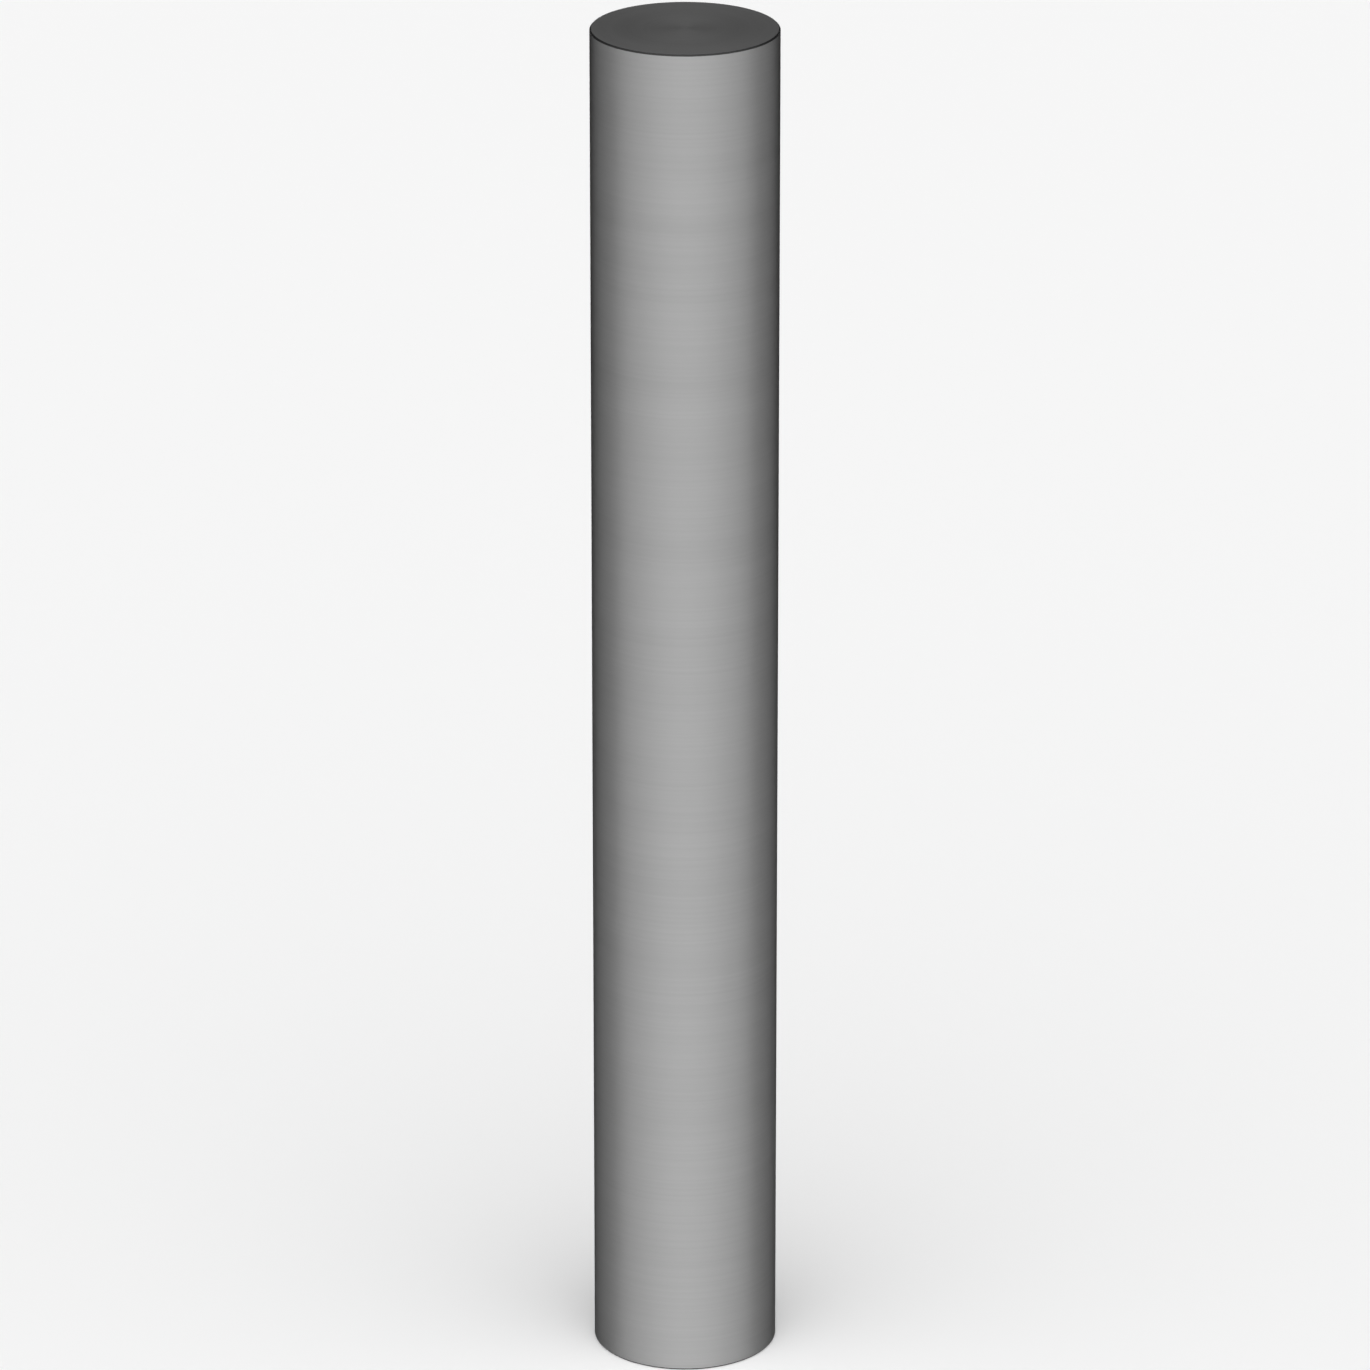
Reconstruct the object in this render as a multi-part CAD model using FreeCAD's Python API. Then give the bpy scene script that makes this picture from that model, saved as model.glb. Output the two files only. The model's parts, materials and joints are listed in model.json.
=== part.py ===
"""Plain round metal shaft, a cut length of ground bar that stands on one end.

The shaft is one solid of revolution: a straight ground journal with a flat, faced end at each
side, and a small edge break where each end meets the journal. The frame's origin is the centre
of the lower end face, and +Z runs up the shaft's axis.
"""

import FreeCAD
import Part

import math
import os

# Driving dimensions, in millimetres and degrees
SHAFT_DIAMETER = 20.0
SHAFT_LENGTH = 150.0
EDGE_BREAK_DEPTH = 0.15
EDGE_BREAK_ANGLE = 45.0

# Where the one node is written
PARTS_FOLDER = "parts"
SHAFT_NODE = "shaft"

FULL_TURN = 360.0


def half_section(diameter, length, break_depth, break_angle):
    """Returns the closed outline between the axis and the journal, in the XZ plane.

    The edge break goes break_depth into the journal's radius, and its slope is break_angle from
    the axis, so both ends have the same break.
    """
    radius = diameter / 2
    end_radius = radius - break_depth
    break_height = break_depth / math.tan(math.radians(break_angle))
    corners = [
        (0, 0),
        (end_radius, 0),
        (radius, break_height),
        (radius, length - break_height),
        (end_radius, length),
        (0, length),
    ]
    points = [FreeCAD.Vector(across, 0, up) for across, up in corners]
    return Part.makePolygon(points + points[:1])


def turned_shaft():
    """Returns the shaft, its half section turned once round the axis."""
    outline = half_section(SHAFT_DIAMETER, SHAFT_LENGTH, EDGE_BREAK_DEPTH, EDGE_BREAK_ANGLE)
    axis_foot = FreeCAD.Vector(0, 0, 0)
    axis_direction = FreeCAD.Vector(0, 0, 1)
    return Part.Face(outline).revolve(axis_foot, axis_direction, FULL_TURN)


def main():
    """Builds the shaft and writes it as one node."""
    os.makedirs(PARTS_FOLDER, exist_ok=True)
    shaft = turned_shaft()
    if not shaft.isValid() or len(shaft.Solids) != 1:
        raise ValueError("the shaft is not one valid solid")
    shaft.exportStep(os.path.join(PARTS_FOLDER, SHAFT_NODE + ".step"))
    box = shaft.BoundBox
    print(f"{SHAFT_NODE}: {box.XLength:.2f} x {box.YLength:.2f} x {box.ZLength:.2f} mm, "
          f"{shaft.Volume:.0f} mm3")


main()
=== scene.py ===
"""A plain ground steel shaft that stands on one end, on a pale floor in soft studio light.

The shaft is one turned piece: a ground journal, two faced ends and a broken edge round each rim.
Its sizes are read from the frame, so the dressed piece is as large as the solid that it replaces.
All lengths are in metres, in the frame's own axes: +Z runs up the shaft, and the camera looks
along +Y.
"""

import json
import logging
import math
from dataclasses import dataclass
from enum import Enum
from typing import Any

import bpy
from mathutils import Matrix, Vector


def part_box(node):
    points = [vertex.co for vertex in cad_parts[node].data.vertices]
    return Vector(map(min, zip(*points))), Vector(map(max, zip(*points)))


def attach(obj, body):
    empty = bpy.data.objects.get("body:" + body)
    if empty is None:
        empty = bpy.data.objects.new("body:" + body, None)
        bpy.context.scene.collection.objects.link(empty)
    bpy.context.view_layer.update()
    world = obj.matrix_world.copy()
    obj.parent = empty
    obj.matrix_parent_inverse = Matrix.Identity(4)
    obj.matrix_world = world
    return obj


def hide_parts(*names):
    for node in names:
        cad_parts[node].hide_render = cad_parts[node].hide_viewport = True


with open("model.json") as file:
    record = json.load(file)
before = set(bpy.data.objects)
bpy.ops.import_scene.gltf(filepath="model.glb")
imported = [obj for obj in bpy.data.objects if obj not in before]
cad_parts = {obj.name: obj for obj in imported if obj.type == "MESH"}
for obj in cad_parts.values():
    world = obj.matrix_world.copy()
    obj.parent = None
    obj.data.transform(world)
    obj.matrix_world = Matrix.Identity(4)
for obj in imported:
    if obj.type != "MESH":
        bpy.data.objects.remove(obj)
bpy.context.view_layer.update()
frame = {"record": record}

MM = 0.001
FULL_TURN = 2 * math.pi
SHAFT_NODE = "shaft"

# The name by which a piece's own flat map is known where its finishes are baked
FLAT_MAP_NAME = "OFBake"

# The shader's own tangent runs round the shaft, as the marks do. Light spreads across them, which
# is a quarter of a turn away.
ACROSS_THE_MARKS = 0.25

# The roughness changes in bands, each this many marks wide and this many of their runs long
BAND_MARKS = 12
BAND_RUNS = 3

# How steeply a face's normal stands: all but upright on an end, and all but level on the journal
END_STEEPNESS = 0.9999
JOURNAL_STEEPNESS = 0.0001

# What kind of input holds each type of value in a tree
SOCKET_KINDS = {
    float: "NodeSocketFloat",
    int: "NodeSocketInt",
    bpy.types.Material: "NodeSocketMaterial",
}

log = logging.getLogger("shaft")


def linear_colour(code: str) -> tuple[float, float, float, float]:
    """Turns an sRGB hex colour into the linear colour that a shader takes.

    Args:
        code: The colour as "#RRGGBB".

    Returns:
        Red, green and blue as linear values, and an alpha of 1.
    """
    channels = []
    for start in (1, 3, 5):
        value = int(code[start : start + 2], 16) / 255
        channels.append(value / 12.92 if value <= 0.04045 else ((value + 0.055) / 1.055) ** 2.4)
    return (*channels, 1.0)


def add_node(
    tree: bpy.types.NodeTree,
    kind: str,
    inputs: dict[str | int, Any] | None = None,
    **settings: Any,
) -> bpy.types.Node:
    """Adds one node with its settings, its input values and its links.

    Args:
        tree: The node tree that gets the node.
        kind: The node's type, such as "ShaderNodeMath".
        inputs: For each input's name or place, a value to hold or an output socket to link.
        **settings: The node's own options, such as operation="ADD".

    Returns:
        The new node.
    """
    node = tree.nodes.new(kind)
    for name, value in settings.items():
        setattr(node, name, value)
    for key, value in (inputs or {}).items():
        if isinstance(value, bpy.types.NodeSocket):
            tree.links.new(value, node.inputs[key])
        else:
            node.inputs[key].default_value = value
    return node


class Lay(Enum):
    """How a finish's marks lie. Each value keeps the axes that run across the marks."""

    ROUND_THE_JOURNAL = (0.0, 0.0, 1.0)
    ROUND_THE_FACE = (1.0, 1.0, 0.0)


@dataclass(frozen=True)
class MachinedSteel:
    """A bare steel surface with the fine marks that its last cut left.

    The marks are rings round the shaft's axis, so one graph serves the journal and the faces: the
    lay picks what runs across them. Light spreads more across the marks than along them.
    """

    name: str
    colour: str
    edge_tint: str
    roughness: float
    roughness_spread: float
    anisotropy: float
    lay: Lay
    mark_pitch: float
    mark_run: float
    mark_depth: float
    tone_spread: float

    def material(self) -> bpy.types.Material:
        """Builds the finish's node graph.

        Returns:
            The new material.
        """
        material = bpy.data.materials.new(self.name)
        material.use_nodes = True
        tree = material.node_tree
        shader = tree.nodes["Principled BSDF"]

        place = add_node(tree, "ShaderNodeTexCoord").outputs["Object"]
        across = add_node(
            tree, "ShaderNodeVectorMath", {0: place, 1: self.lay.value}, operation="MULTIPLY"
        )
        distance = add_node(
            tree, "ShaderNodeVectorMath", {0: across.outputs["Vector"]}, operation="LENGTH"
        ).outputs["Value"]
        marks = self._rings(tree, place, distance, self.mark_pitch, self.mark_run)
        bands = self._rings(
            tree, place, distance, BAND_MARKS * self.mark_pitch, BAND_RUNS * self.mark_run
        )

        colour = linear_colour(self.colour)
        tones = [
            (*(channel * (1 + side * self.tone_spread) for channel in colour[:3]), 1.0)
            for side in (-1, 1)
        ]
        # A Mix node's two colours are its inputs 6 and 7, and the mixed one is its output 2
        tone = add_node(
            tree,
            "ShaderNodeMix",
            {"Factor": marks, 6: tones[0], 7: tones[1]},
            data_type="RGBA",
        )
        roughness = add_node(
            tree,
            "ShaderNodeMapRange",
            {
                "Value": bands,
                "To Min": self.roughness - self.roughness_spread,
                "To Max": self.roughness + self.roughness_spread,
            },
        )
        bump = add_node(tree, "ShaderNodeBump", {"Height": marks, "Distance": self.mark_depth})

        tree.links.new(tone.outputs[2], shader.inputs["Base Color"])
        tree.links.new(roughness.outputs["Result"], shader.inputs["Roughness"])
        tree.links.new(bump.outputs["Normal"], shader.inputs["Normal"])
        shader.inputs["Metallic"].default_value = 1.0
        shader.inputs["Anisotropic"].default_value = self.anisotropy
        shader.inputs["Anisotropic Rotation"].default_value = ACROSS_THE_MARKS
        shader.inputs["Specular Tint"].default_value = linear_colour(self.edge_tint)
        return material

    def _rings(
        self,
        tree: bpy.types.NodeTree,
        place: bpy.types.NodeSocket,
        distance: bpy.types.NodeSocket,
        pitch: float,
        run: float,
    ) -> bpy.types.NodeSocket:
        """Adds a noise that is drawn out into rings.

        Args:
            tree: The material's node tree.
            place: The point on the shaft.
            distance: How far the point lies across the marks.
            pitch: The width of one mark.
            run: How far a mark goes on round the shaft before it fades into another.

        Returns:
            The noise, from 0 to 1.
        """
        along = add_node(
            tree,
            "ShaderNodeVectorMath",
            {0: place, 1: (1 / run, 1 / run, 0.0)},
            operation="MULTIPLY",
        )
        steps = add_node(tree, "ShaderNodeMath", {0: distance, 1: pitch}, operation="DIVIDE")
        lift = add_node(tree, "ShaderNodeCombineXYZ", {"Z": steps.outputs["Value"]})
        ring_place = add_node(
            tree,
            "ShaderNodeVectorMath",
            {0: along.outputs["Vector"], 1: lift.outputs["Vector"]},
            operation="ADD",
        )
        noise = add_node(
            tree,
            "ShaderNodeTexNoise",
            {"Vector": ring_place.outputs["Vector"], "Scale": 1.0, "Detail": 2.0},
        )
        return noise.outputs["Fac"]


# Bright bar stock, ground between wheels. The marks run round the bar, so its light spreads up
# and down, and each height looks like the next. Its edge tint is dark, which keeps the glare of
# the pale floor out of its sides. Real grinding marks are some 0.05 mm apart, and these are drawn
# coarser, so that they show at all.
GROUND_JOURNAL = MachinedSteel(
    name="centreless_ground_steel",
    colour="#B0B0B0",
    edge_tint="#404040",
    roughness=0.55,
    roughness_spread=0.03,
    anisotropy=1.0,
    lay=Lay.ROUND_THE_JOURNAL,
    mark_pitch=0.3 * MM,
    mark_run=30 * MM,
    mark_depth=0.004 * MM,
    tone_spread=0.05,
)

# Ends faced square on a lathe, with the tool's feed marks as fine rings round the centre. Real
# feed marks are some 0.1 mm apart, and these are drawn coarser too.
FACED_END = MachinedSteel(
    name="lathe_faced_steel",
    colour="#AFAFAF",
    edge_tint="#404040",
    roughness=0.45,
    roughness_spread=0.03,
    anisotropy=0.1,
    lay=Lay.ROUND_THE_FACE,
    mark_pitch=0.35 * MM,
    mark_run=15 * MM,
    mark_depth=0.004 * MM,
    tone_spread=0.05,
)

# The edge is broken with a file. Its dark grey colour is painted shade: it draws a thin dark line
# round each rim, where filed steel itself would be bright. Its light spreads alike all ways.
BROKEN_EDGE_PAINTED_DARK = MachinedSteel(
    name="filed_steel_painted_dark_rim",
    # Painted shade: this dark grey makes the dark line round each rim
    colour="#404040",
    edge_tint="#909090",
    roughness=0.5,
    roughness_spread=0.05,
    anisotropy=0.0,
    lay=Lay.ROUND_THE_JOURNAL,
    mark_pitch=0.1 * MM,
    mark_run=2 * MM,
    mark_depth=0.002 * MM,
    tone_spread=0.1,
)


class Zone(Enum):
    """The three kinds of turned face, each by the place of its finish on the piece."""

    JOURNAL = 0
    END = 1
    EDGE = 2

    @property
    def finish_input(self) -> str:
        """Returns the name of the tree's input for the zone's finish."""
        return f"{self.name.title()} Finish"


@dataclass(frozen=True)
class FlatMap:
    """Where the turned faces lie when they are laid flat, in shares of the map's width.

    The journal is cut at half its height into two panels that stand side by side, so its marks
    get twice the room, and they run across the map. The end discs are beside the panels, and the
    edge breaks are strips along the bottom and the top. In each pair, the lower half's or lower
    end's place comes first.
    """

    panel_left: tuple[float, float] = (0.01, 0.36)
    panel_bottom: float = 0.04
    panel_width: float = 0.34
    panel_height: float = 0.92
    disc_across: float = 0.855
    disc_up: tuple[float, float] = (0.3, 0.7)
    disc_radius: float = 0.13
    strip_left: float = 0.01
    strip_bottom: tuple[float, float] = (0.008, 0.972)
    strip_width: float = 0.98
    strip_height: float = 0.02

    def journal(self, turn: float, height: float, upper: bool) -> tuple[float, float]:
        """Places a point of the journal.

        Args:
            turn: Its share of a turn.
            height: Its share of its half's height.
            upper: Whether it is in the upper half.

        Returns:
            Its place on the map.
        """
        left = self.panel_left[upper]
        return left + turn * self.panel_width, self.panel_bottom + height * self.panel_height

    def end(self, x: float, y: float, upper: bool) -> tuple[float, float]:
        """Places a point of an end face, as it looks from outside.

        Args:
            x: Its place along X, in radii.
            y: Its place along Y, in radii.
            upper: Whether it is on the upper end.

        Returns:
            Its place on the map.
        """
        side = 1 if upper else -1
        across = self.disc_across + x * self.disc_radius
        return across, self.disc_up[upper] + side * y * self.disc_radius

    def edge(self, turn: float, around: float, upper: bool) -> tuple[float, float]:
        """Places a point of an edge break.

        Args:
            turn: Its share of a turn.
            around: Its share of the way from the journal to the end face.
            upper: Whether it is at the upper end.

        Returns:
            Its place on the map.
        """
        rise = around if upper else 1 - around
        across = self.strip_left + turn * self.strip_width
        return across, self.strip_bottom[upper] + rise * self.strip_height


@dataclass(frozen=True)
class Shaft:
    """The turned shaft, with its sizes in metres.

    Its half section is an open line from the centre of the top face, out and down round both
    broken edges, to the centre of the bottom face. Swept round the axis, it closes at both centres.
    """

    radius: float
    length: float
    edge_break: float
    edge_blend: float = 0.04 * MM
    blend_points: int = 3
    segments: int = 256
    weld: float = 0.001 * MM

    @classmethod
    def from_frame(cls, record: dict[str, Any]) -> "Shaft":
        """Reads the shaft's sizes from its node and its journal.

        Args:
            record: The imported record, whose journal stops at the edge breaks.

        Returns:
            The shaft at its real size.
        """
        journal = next(mount for mount in record["mounts"] if mount["name"] == "journal")
        low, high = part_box(SHAFT_NODE)
        length = high.z - low.z
        return cls(
            radius=journal["dims"]["r_mm"] * MM,
            length=length,
            edge_break=(length - journal["dims"]["length_mm"] * MM) / 2,
        )

    def build(
        self, journal: MachinedSteel, ends: MachinedSteel, edges: MachinedSteel
    ) -> bpy.types.Object:
        """Turns the shaft, dresses it and lets it stand for its solid.

        Args:
            journal: The finish round the side.
            ends: The finish of both end faces.
            edges: The finish of both edge breaks.

        Returns:
            The finished piece.
        """
        values = {
            "Radius": self.radius,
            "Length": self.length,
            "Edge Break": self.edge_break,
            "Edge Blend": self.edge_blend,
            "Blend Points": self.blend_points,
            "Segments": self.segments,
            "Weld": self.weld,
            Zone.JOURNAL.finish_input: journal.material(),
            Zone.END.finish_input: ends.material(),
            Zone.EDGE.finish_input: edges.material(),
        }
        piece = bpy.data.objects.new("turned_shaft", bpy.data.meshes.new("turned_shaft"))
        bpy.context.scene.collection.objects.link(piece)
        modifier = piece.modifiers.new("turning", "NODES")
        modifier.node_group = self._turning(values)
        for socket in modifier.node_group.interface.items_tree:
            if socket.in_out == "INPUT":
                modifier[socket.identifier] = values[socket.name]
        evaluated = piece.evaluated_get(bpy.context.evaluated_depsgraph_get())
        piece.data = bpy.data.meshes.new_from_object(evaluated)
        piece.modifiers.clear()
        self._lay_flat(piece.data)
        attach(piece, "root")
        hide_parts(SHAFT_NODE)
        return piece

    def _lay_flat(self, mesh: bpy.types.Mesh) -> None:
        """Lays the turned faces flat, as the map that their finishes are baked on.

        Args:
            mesh: The turned mesh.
        """
        flat = FlatMap()
        spots = mesh.uv_layers.new(name=FLAT_MAP_NAME).data
        middle = self.length / 2

        # The outline turns by 45 degrees at each side of the break. A blend there starts its
        # radius times the tangent of half that turn outside the break.
        corner = self.edge_break + self.edge_blend * math.tan(FULL_TURN / 16)
        for face in mesh.polygons:
            zone = Zone(face.material_index)
            upper = face.center.z > middle
            face_turn = math.atan2(face.center.x, -face.center.y) / FULL_TURN
            for loop in face.loop_indices:
                x, y, z = mesh.vertices[mesh.loops[loop].vertex_index].co
                # Turns are counted from the back, where a point takes the side of its face
                turn = math.atan2(x, -y) / FULL_TURN
                turn += 0.5 + round(face_turn - turn)
                if zone is Zone.JOURNAL:
                    spots[loop].uv = flat.journal(turn, z / middle - upper, upper)
                elif zone is Zone.END:
                    spots[loop].uv = flat.end(x / self.radius, y / self.radius, upper)
                else:
                    outward = math.hypot(x, y) - self.radius + corner
                    endward = abs(z - middle) - middle + corner
                    around = math.atan2(endward, outward) / (FULL_TURN / 4)
                    spots[loop].uv = flat.edge(turn, around, upper)

    def _turning(self, values: dict[str, Any]) -> bpy.types.NodeTree:
        """Builds the tree that turns the shaft and gives each kind of face its finish.

        Args:
            values: What each input of the tree will hold, by the input's name.

        Returns:
            The tree.
        """
        tree = bpy.data.node_groups.new("turning", "GeometryNodeTree")
        for name, value in values.items():
            kind = SOCKET_KINDS[type(value)]
            tree.interface.new_socket(name, in_out="INPUT", socket_type=kind)
        tree.interface.new_socket("Shaft", in_out="OUTPUT", socket_type="NodeSocketGeometry")
        sizes = add_node(tree, "NodeGroupInput").outputs

        turned = self._sweep(tree, sizes, self._half_section(tree, sizes))
        is_end, is_edge = self._kinds_of_face(tree)
        creased = self._crease(tree, turned, is_edge)
        result = add_node(tree, "GeometryNodeRealizeInstances", {0: creased}).outputs[0]

        # The journal's finish goes on every face, and then the other two go over it
        picks = {Zone.JOURNAL: True, Zone.END: is_end, Zone.EDGE: is_edge}
        for zone in Zone:
            result = add_node(
                tree,
                "GeometryNodeSetMaterial",
                {
                    "Geometry": result,
                    "Selection": picks[zone],
                    "Material": sizes[zone.finish_input],
                },
            ).outputs[0]
        add_node(tree, "NodeGroupOutput", {0: result})
        return tree

    def _half_section(
        self, tree: bpy.types.NodeTree, sizes: bpy.types.bpy_prop_collection
    ) -> bpy.types.NodeSocket:
        """Adds the nodes that draw the half section.

        Args:
            tree: The tree that gets the nodes.
            sizes: The tree's own inputs.

        Returns:
            The section as an open curve.
        """
        # The path is a circle at the journal, so the section is drawn inwards from it. A section's
        # Y points down once it is swept, so its heights are counted below zero.
        centre = add_node(
            tree, "ShaderNodeMath", {0: sizes["Radius"], 1: -1.0}, operation="MULTIPLY"
        )
        top = add_node(tree, "ShaderNodeMath", {0: sizes["Length"], 1: -1.0}, operation="MULTIPLY")
        top_centre = add_node(
            tree, "ShaderNodeCombineXYZ", {"X": centre.outputs[0], "Y": top.outputs[0]}
        )
        top_rim = add_node(tree, "ShaderNodeCombineXYZ", {"Y": top.outputs[0]})
        bottom_centre = add_node(tree, "ShaderNodeCombineXYZ", {"X": centre.outputs[0]})
        section = add_node(
            tree,
            "GeometryNodeCurvePrimitiveQuadrilateral",
            {
                "Point 1": top_centre.outputs[0],
                "Point 2": top_rim.outputs[0],
                "Point 3": (0.0, 0.0, 0.0),
                "Point 4": bottom_centre.outputs[0],
            },
            mode="POINTS",
        )
        opened = add_node(
            tree, "GeometryNodeSetSplineCyclic", {"Geometry": section.outputs[0], "Cyclic": False}
        )

        # The point halfway down the journal becomes the ring where the flat map cuts it
        halved = add_node(
            tree, "GeometryNodeSubdivideCurve", {"Curve": opened.outputs[0], "Cuts": 1}
        )
        broken = add_node(
            tree,
            "GeometryNodeFilletCurve",
            {"Curve": halved.outputs[0], "Count": 1, "Radius": sizes["Edge Break"]},
            mode="POLY",
        )
        blended = add_node(
            tree,
            "GeometryNodeFilletCurve",
            {
                "Curve": broken.outputs[0],
                "Count": sizes["Blend Points"],
                "Radius": sizes["Edge Blend"],
                "Limit Radius": True,
            },
            mode="POLY",
        )
        return blended.outputs[0]

    def _sweep(
        self,
        tree: bpy.types.NodeTree,
        sizes: bpy.types.bpy_prop_collection,
        section: bpy.types.NodeSocket,
    ) -> bpy.types.NodeSocket:
        """Adds the nodes that sweep the half section once round the axis.

        Args:
            tree: The tree that gets the nodes.
            sizes: The tree's own inputs.
            section: The half section.

        Returns:
            The mesh, closed at both centres.
        """
        path = add_node(
            tree,
            "GeometryNodeCurvePrimitiveCircle",
            {"Resolution": sizes["Segments"], "Radius": sizes["Radius"]},
            mode="RADIUS",
        )
        swept = add_node(
            tree,
            "GeometryNodeCurveToMesh",
            {"Curve": path.outputs["Curve"], "Profile Curve": section},
        )
        closed = add_node(
            tree,
            "GeometryNodeMergeByDistance",
            {"Geometry": swept.outputs[0], "Distance": sizes["Weld"]},
        )
        return closed.outputs[0]

    def _kinds_of_face(
        self, tree: bpy.types.NodeTree
    ) -> tuple[bpy.types.NodeSocket, bpy.types.NodeSocket]:
        """Adds the nodes that tell the kinds of face apart by how steep their normals are.

        Args:
            tree: The tree that gets the nodes.

        Returns:
            Whether a face is on an end, and whether it is on an edge break.
        """
        normal = add_node(tree, "GeometryNodeInputNormal").outputs["True Normal"]
        upright = add_node(tree, "ShaderNodeSeparateXYZ", {0: normal}).outputs["Z"]
        steepness = add_node(
            tree, "ShaderNodeMath", {0: upright}, operation="ABSOLUTE"
        ).outputs[0]
        is_end = add_node(
            tree,
            "FunctionNodeCompare",
            {0: steepness, 1: END_STEEPNESS},
            operation="GREATER_THAN",
        ).outputs[0]
        is_journal = add_node(
            tree,
            "FunctionNodeCompare",
            {0: steepness, 1: JOURNAL_STEEPNESS},
            operation="LESS_THAN",
        ).outputs[0]
        is_edge = add_node(
            tree,
            "FunctionNodeBooleanMath",
            {0: is_end, 1: is_journal},
            operation="NOR",
        ).outputs[0]
        return is_end, is_edge

    def _crease(
        self,
        tree: bpy.types.NodeTree,
        turned: bpy.types.NodeSocket,
        is_edge: bpy.types.NodeSocket,
    ) -> bpy.types.NodeSocket:
        """Adds the nodes that shade the mesh smooth between creases, so that the flats stay flat.

        Args:
            tree: The tree that gets the nodes.
            turned: The mesh.
            is_edge: Whether a face is on an edge break.

        Returns:
            The creased mesh.
        """
        # Read on the mesh's edges, the share is a half where an edge break meets another face,
        # and the crease goes there
        share = add_node(
            tree, "GeometryNodeFieldOnDomain", {0: is_edge}, domain="FACE", data_type="FLOAT"
        )
        even = add_node(
            tree,
            "FunctionNodeCompare",
            {0: share.outputs[0], 1: 0.5, "Epsilon": 0.25},
            operation="NOT_EQUAL",
        )
        smooth = add_node(
            tree,
            "GeometryNodeSetShadeSmooth",
            {"Geometry": turned, "Shade Smooth": True},
            domain="FACE",
        )
        creased = add_node(
            tree,
            "GeometryNodeSetShadeSmooth",
            {"Geometry": smooth.outputs[0], "Shade Smooth": even.outputs[0]},
            domain="EDGE",
        )
        return creased.outputs[0]


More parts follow.
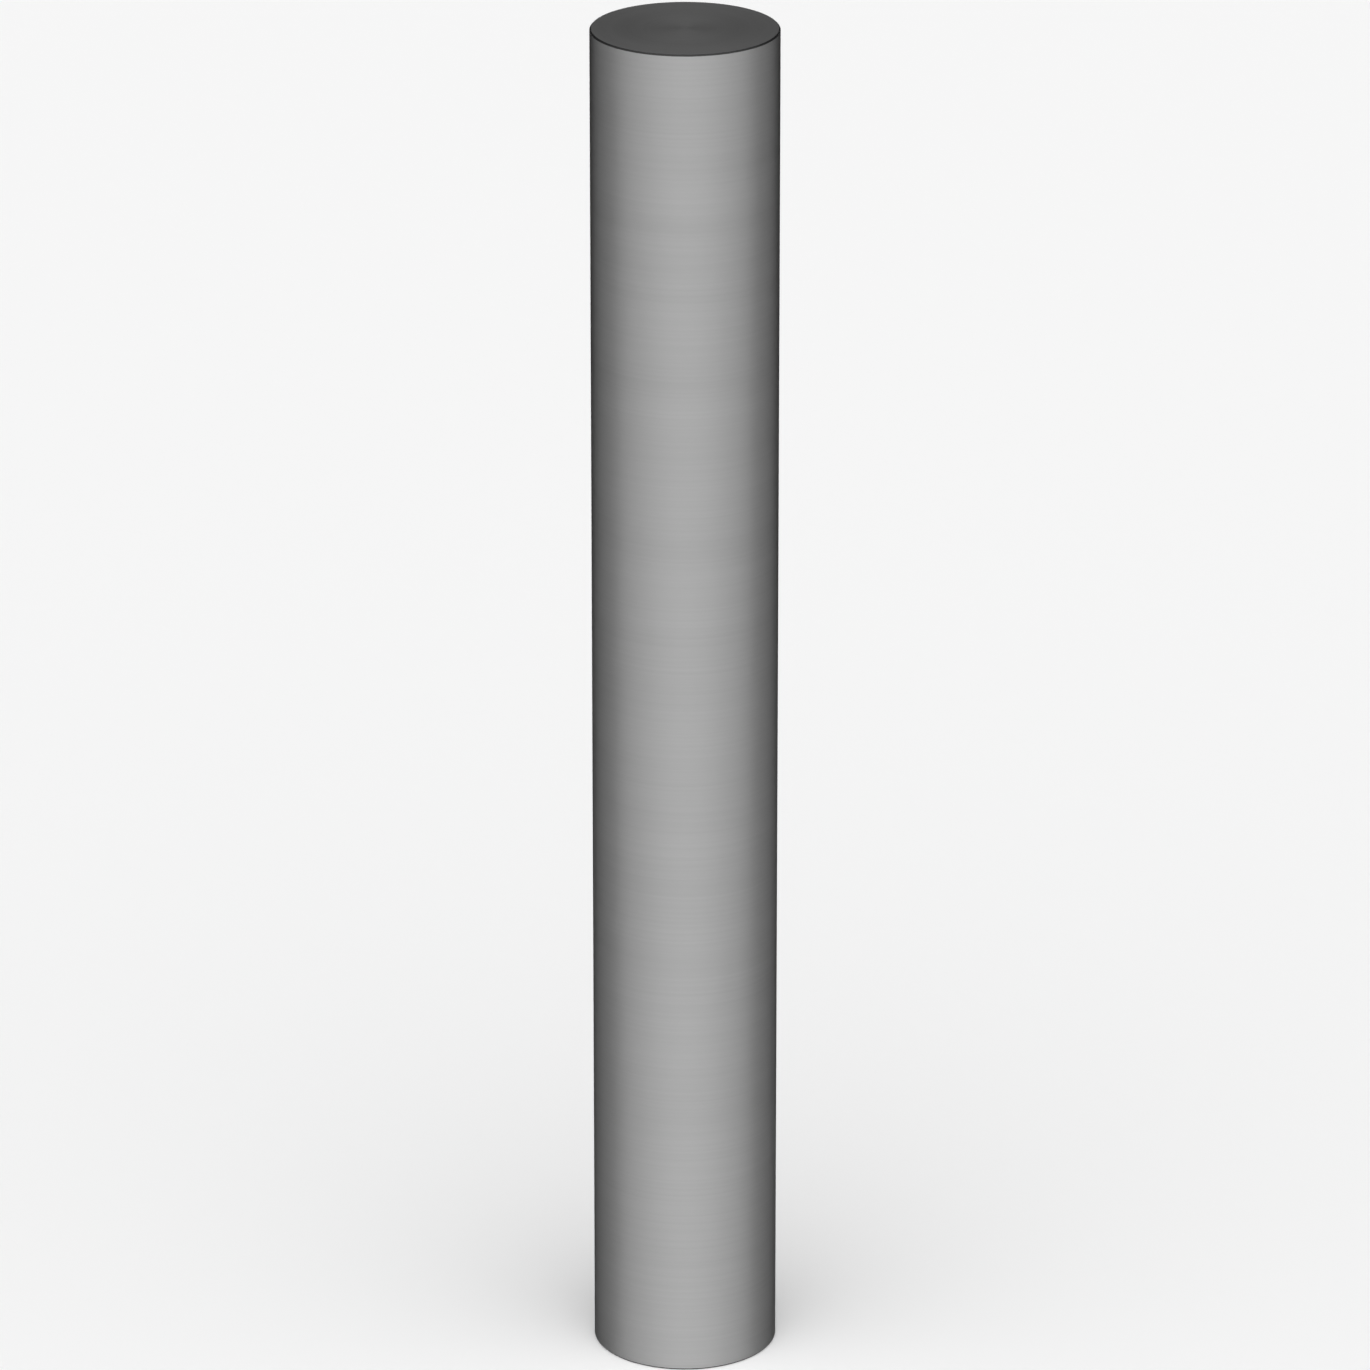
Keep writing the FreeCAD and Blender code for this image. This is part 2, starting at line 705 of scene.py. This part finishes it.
@dataclass(frozen=True)
class Studio:
    """The pale floor, the light and the camera.

    Lengths are in metres and angles in degrees, but the lens and the sensor are in millimetres.
    The room is a glow that weakens from the front to the back. Low down it gives way to a plain
    backdrop about as bright as the open floor, so a level view hardly shows where they meet.
    """

    floor_colour: str = "#F4F4F4"
    floor_width: float = 60.0
    front: tuple[float, float, float] = (0.0, -1.0, 0.0)
    front_light: float = 2.4
    front_focus: float = 2.5
    back_light: float = 0.1
    backdrop_light: float = 0.92
    backdrop_top: float = 2.5
    backdrop_fade: float = 6.0
    key_strength: float = 1.35
    key_height: float = 45.0
    key_width: float = 150.0
    camera_place: tuple[float, float, float] = (0.0, -0.8344, 0.3932)
    camera_aim: tuple[float, float, float] = (0.0, 0.0, 0.0766)
    lens: float = 217.97
    sensor: float = 36.0

    def build(self) -> None:
        """Sets up the floor, the light round the shaft, the key lamp and the camera."""
        self._floor()
        self._surroundings()
        self._key_lamp()
        self._camera()
        bpy.context.scene.view_settings.view_transform = "Standard"

    def _floor(self) -> None:
        """Lays a pale floor of matt paper, with no sheen, that reaches the horizon."""
        half = self.floor_width / 2
        mesh = bpy.data.meshes.new("floor")
        corners = [(x * half, y * half, 0.0) for x, y in ((-1, -1), (1, -1), (1, 1), (-1, 1))]
        mesh.from_pydata(corners, [], [(0, 1, 2, 3)])
        floor = bpy.data.objects.new("floor", mesh)
        bpy.context.scene.collection.objects.link(floor)
        paper = bpy.data.materials.new("backdrop_paper")
        paper.use_nodes = True
        shader = paper.node_tree.nodes["Principled BSDF"]
        shader.inputs["Base Color"].default_value = linear_colour(self.floor_colour)
        shader.inputs["Roughness"].default_value = 1.0
        shader.inputs["Specular IOR Level"].default_value = 0.0
        mesh.materials.append(paper)

    def _surroundings(self) -> None:
        """Lights the room brightest from the front, above a pale backdrop at the horizon."""
        world = bpy.data.worlds.new("studio")
        world.use_nodes = True
        bpy.context.scene.world = world
        tree = world.node_tree
        direction = add_node(tree, "ShaderNodeTexCoord").outputs["Generated"]
        facing = add_node(
            tree, "ShaderNodeVectorMath", {0: direction, 1: self.front}, operation="DOT_PRODUCT"
        )
        share = add_node(
            tree,
            "ShaderNodeMapRange",
            {"Value": facing.outputs["Value"], "From Min": -1.0, "From Max": 1.0},
        )
        focused = add_node(
            tree,
            "ShaderNodeMath",
            {0: share.outputs["Result"], 1: self.front_focus},
            operation="POWER",
        )
        room = add_node(
            tree,
            "ShaderNodeMapRange",
            {"Value": focused.outputs[0], "To Min": self.back_light, "To Max": self.front_light},
        )
        height = add_node(tree, "ShaderNodeSeparateXYZ", {0: direction})
        above = add_node(
            tree,
            "ShaderNodeMapRange",
            {
                "Value": height.outputs["Z"],
                "From Min": math.sin(math.radians(self.backdrop_top)),
                "From Max": math.sin(math.radians(self.backdrop_fade)),
            },
            interpolation_type="SMOOTHSTEP",
        )
        light = add_node(
            tree,
            "ShaderNodeMix",
            {0: above.outputs["Result"], 2: self.backdrop_light, 3: room.outputs["Result"]},
            data_type="FLOAT",
        )
        background = tree.nodes["Background"]
        background.inputs["Color"].default_value = (1.0, 1.0, 1.0, 1.0)
        tree.links.new(light.outputs[0], background.inputs["Strength"])

    def _key_lamp(self) -> None:
        """Adds a wide lamp high in front of the shaft, so far off that it lights all alike."""
        lamp = bpy.data.lights.new("key", "SUN")
        lamp.energy = self.key_strength
        lamp.angle = math.radians(self.key_width)
        key = bpy.data.objects.new("key", lamp)
        bpy.context.scene.collection.objects.link(key)
        key.rotation_euler = (math.radians(90 - self.key_height), 0.0, 0.0)

    def _camera(self) -> None:
        """Sets the camera up at the measured viewing angle."""
        lens = bpy.data.cameras.new("camera")
        lens.lens = self.lens
        lens.sensor_width = self.sensor
        camera = bpy.data.objects.new("camera", lens)
        bpy.context.scene.collection.objects.link(camera)
        place = Vector(self.camera_place)
        gaze = Vector(self.camera_aim) - place
        camera.location = place
        camera.rotation_euler = gaze.to_track_quat("-Z", "Y").to_euler()
        bpy.context.scene.camera = camera


def main() -> None:
    """Builds the shaft and its studio."""
    logging.basicConfig(level=logging.INFO, format="%(message)s")
    shaft = Shaft.from_frame(frame["record"])
    piece = shaft.build(GROUND_JOURNAL, FACED_END, BROKEN_EDGE_PAINTED_DARK)
    log.info("%s: %d faces", piece.name, len(piece.data.polygons))
    Studio().build()
    log.info("studio: floor, light and camera")


if __name__ == "__main__":
    main()
